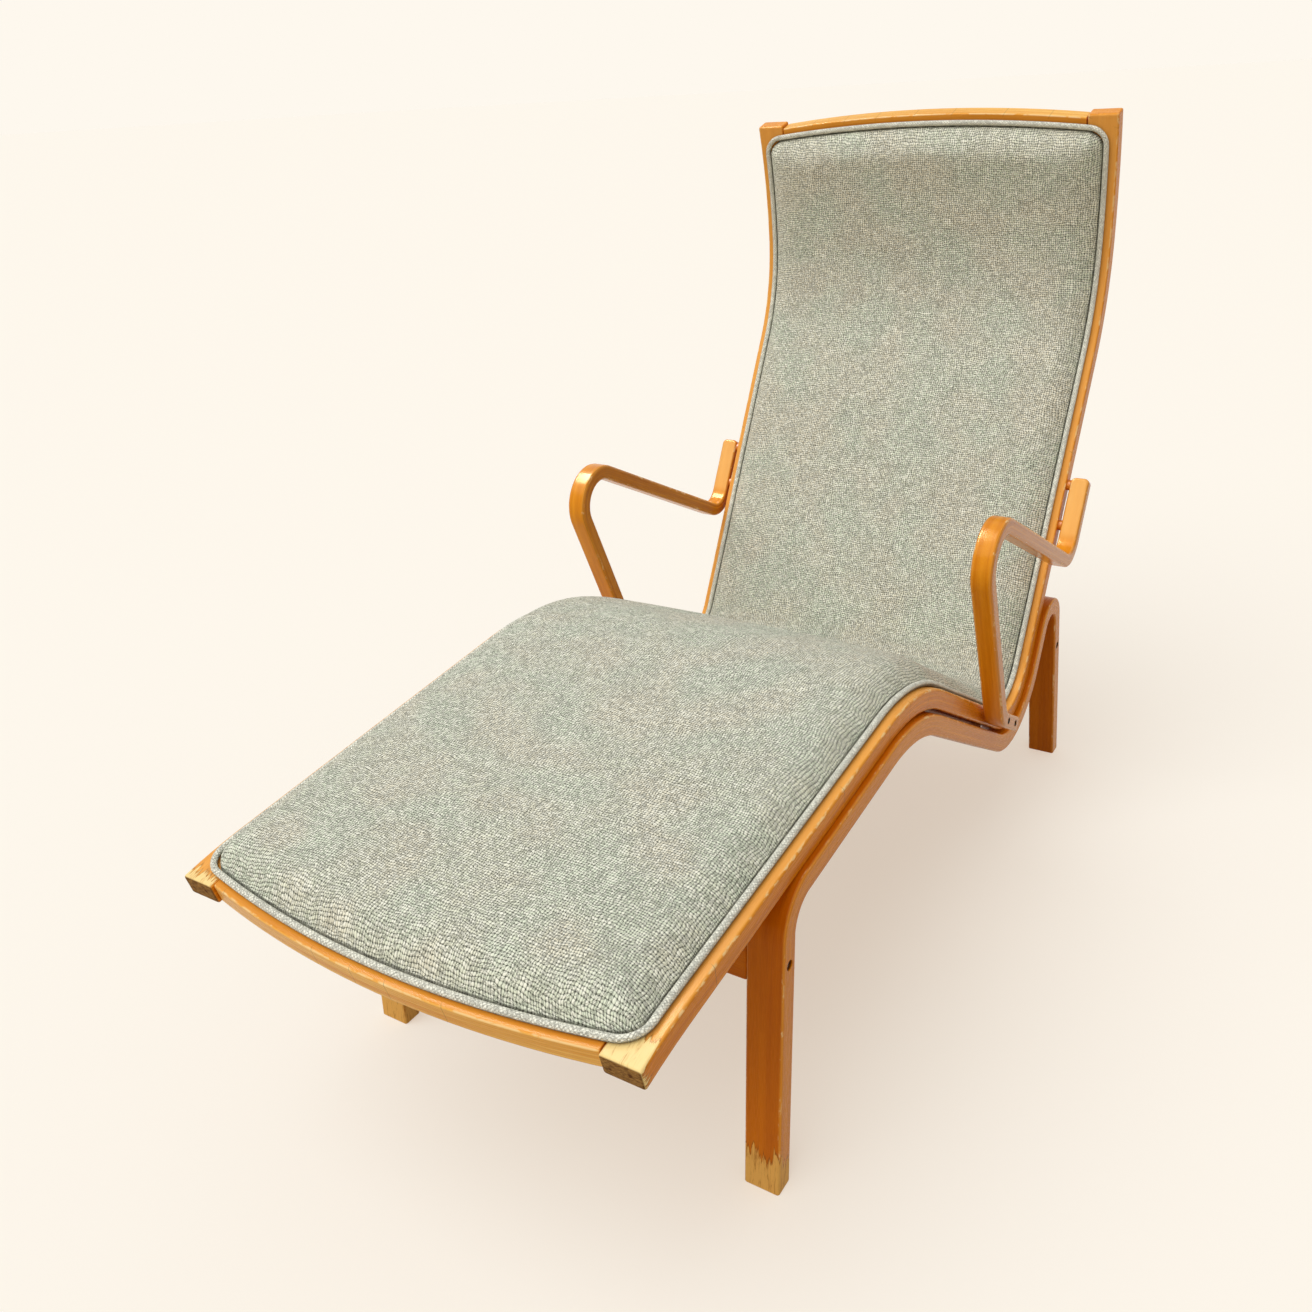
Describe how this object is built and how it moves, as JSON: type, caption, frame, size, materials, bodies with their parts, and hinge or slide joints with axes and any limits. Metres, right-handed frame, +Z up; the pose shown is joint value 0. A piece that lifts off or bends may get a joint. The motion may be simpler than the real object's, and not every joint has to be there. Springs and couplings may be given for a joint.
{
  "type": "lounge chair",
  "caption": "High-backed lounge chair in bent laminated wood with a built-in leg rest, bent open arms and one thin piped pad over webbing.",
  "frame": {"origin": "centre of the chair's footprint box, on the floor", "axes": "+X to the viewer's right as seen from the foot end, +Y from the foot end to the back, +Z up"},
  "size_m": [0.646, 1.4158, 1.0544],
  "materials": {
    "lacquered_wood": "clear lacquered, honey orange, worn at the corners",
    "lacquered_base_wood": "clear lacquered, a little darker",
    "bare_wood": "unfinished",
    "woven_fabric": "coarse grey-green basket weave",
    "foam": "open cell",
    "lining_cloth": "plain cotton lining",
    "webbing": "woven elastic webbing",
    "zinc_steel": "zinc plated"
  },
  "bodies": {
    "root": {"side_rail_left": "lacquered_wood", "side_rail_right": "lacquered_wood", "foot_rail": "lacquered_wood", "head_rail": "lacquered_wood", "base_strip_left": "lacquered_base_wood", "base_strip_right": "lacquered_base_wood", "front_stretcher": "lacquered_base_wood", "rear_stretcher": "lacquered_base_wood", "arm_left": "lacquered_wood", "arm_right": "lacquered_wood", "pad_cover": "woven_fabric", "pad_piping": "woven_fabric", "pad_foam": "foam", "pad_lining": "lining_cloth", "webbing_straps": "webbing", "webbing_clips": "zinc_steel", "cross_rail_dowels": "bare_wood", "stretcher_dowels": "bare_wood", "stretcher_bolts": "zinc_steel", "stretcher_barrel_nuts": "zinc_steel", "rail_screws": "zinc_steel", "arm_foot_screws": "zinc_steel", "arm_back_screws": "zinc_steel", "arm_spacers": "lacquered_wood"}
  },
  "joints": []
}
